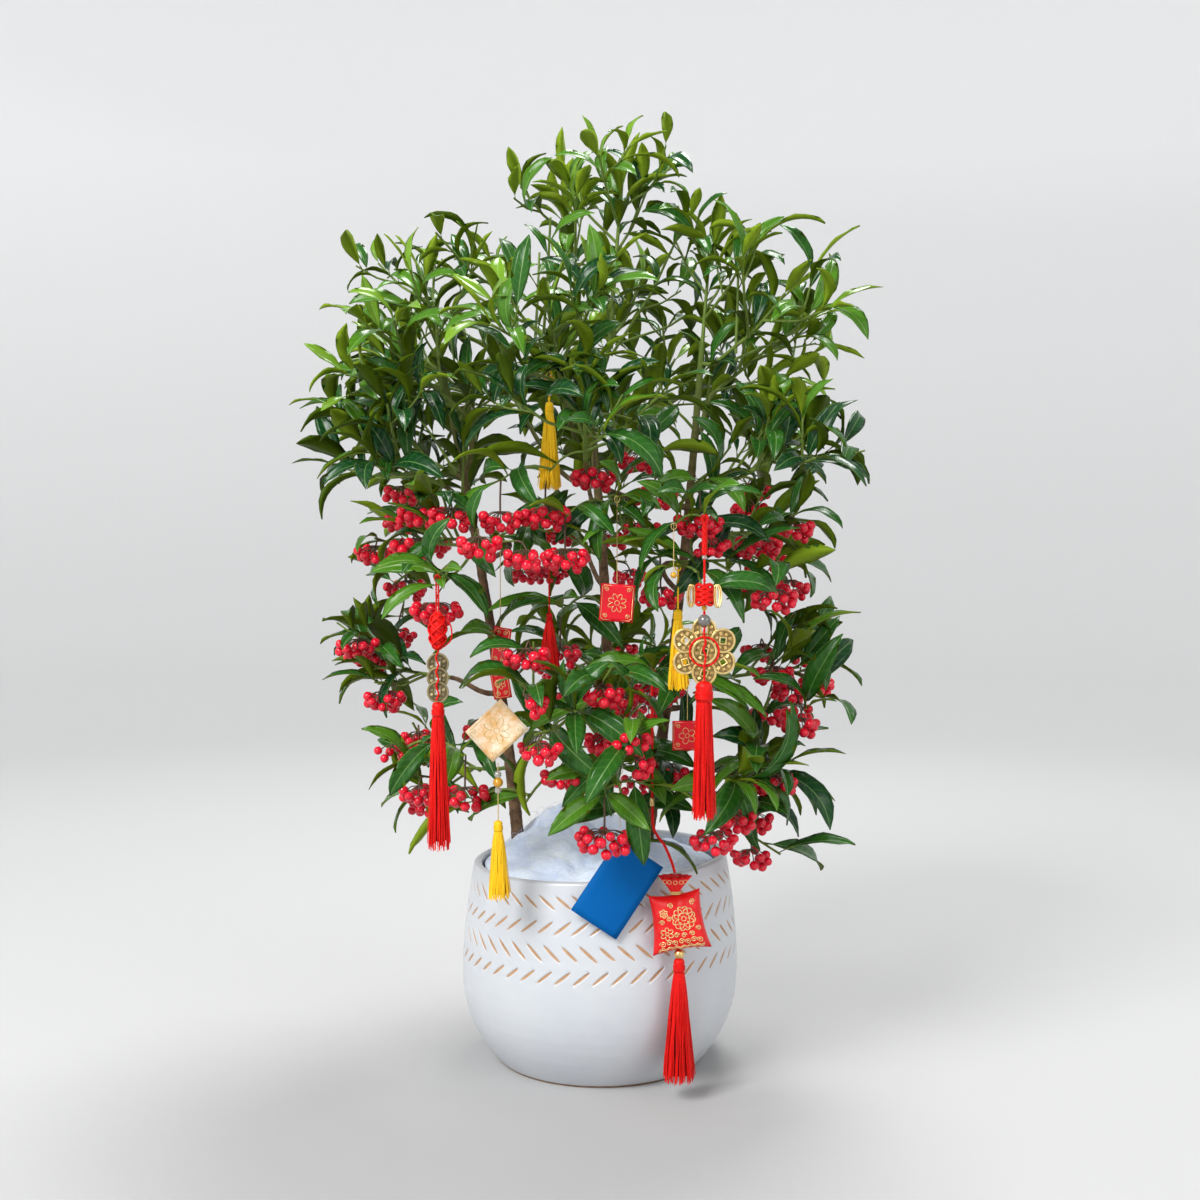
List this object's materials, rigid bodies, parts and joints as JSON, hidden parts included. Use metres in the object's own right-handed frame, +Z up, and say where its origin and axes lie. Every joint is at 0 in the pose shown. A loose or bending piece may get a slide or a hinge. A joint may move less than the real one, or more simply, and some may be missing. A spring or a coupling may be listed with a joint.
{
  "type": "potted coral ardisia",
  "caption": "Evergreen berry shrub with slender upright stems, whorled glossy leaves and drooping fruit, standing in a carved belly planter.",
  "frame": {"origin": "centre of the pot's flat foot, on the surface that it stands on", "axes": "+Z up through the pot and the stems, -Y towards the plant's front, +X to its right"},
  "size_m": [0.5572, 0.5742, 0.9062],
  "materials": {
    "glazed_clay": "satin",
    "soil": "matte",
    "wadding": "matte",
    "bark": "matte",
    "foliage": "satin",
    "fruit": "gloss",
    "red_silk": "satin",
    "yellow_silk": "satin",
    "coin_brass": "satin",
    "printed_card": "satin",
    "blue_card": "satin",
    "glass_bead": "gloss"
  },
  "bodies": {
    "root": {"crown_leaves_1": "foliage", "crown_leaves_2": "foliage", "crown_leaves_3": "foliage", "leader": "bark", "leader_tip_leaves": "foliage", "left_stem": "bark", "left_tip_leaves": "foliage", "low_fruit_1": "foliage", "low_fruit_2": "foliage", "low_fruit_3": "foliage", "low_fruit_4": "foliage", "middle_fruit_1": "foliage", "middle_fruit_2": "foliage", "middle_fruit_3": "foliage", "middle_fruit_4": "foliage", "middle_fruit_bough_1": "bark", "middle_fruit_bough_2": "bark", "middle_fruit_bough_3": "bark", "middle_fruit_bough_4": "bark", "middle_stem": "bark", "middle_tip_leaves": "foliage", "pot": "glazed_clay", "right_stem": "bark", "right_tip_leaves": "foliage", "shoulder_bough_1": "bark", "shoulder_bough_2": "bark", "shoulder_bough_3": "bark", "shoulder_bough_4": "bark", "shoulder_bough_5": "bark", "shoulder_bough_6": "bark", "shoulder_leaves_1": "foliage", "shoulder_leaves_2": "foliage", "shoulder_leaves_3": "foliage", "shoulder_leaves_4": "foliage", "shoulder_leaves_5": "foliage", "shoulder_leaves_6": "foliage", "skirt_bough_1": "bark", "skirt_bough_2": "bark", "skirt_bough_3": "bark", "skirt_bough_4": "bark", "skirt_bough_5": "bark", "skirt_bough_6": "bark", "skirt_leaves_1": "foliage", "skirt_leaves_2": "foliage", "skirt_leaves_3": "foliage", "skirt_leaves_4": "foliage", "skirt_leaves_5": "foliage", "skirt_leaves_6": "foliage", "soil": "soil", "upper_fruit_1": "foliage", "upper_fruit_2": "foliage", "upper_fruit_3": "foliage", "upper_fruit_4": "foliage", "upper_fruit_5": "foliage", "upper_fruit_bough_1": "bark", "upper_fruit_bough_2": "bark", "upper_fruit_bough_3": "bark", "upper_fruit_bough_4": "bark", "upper_fruit_bough_5": "bark", "wadding": "wadding"}
  },
  "joints": []
}
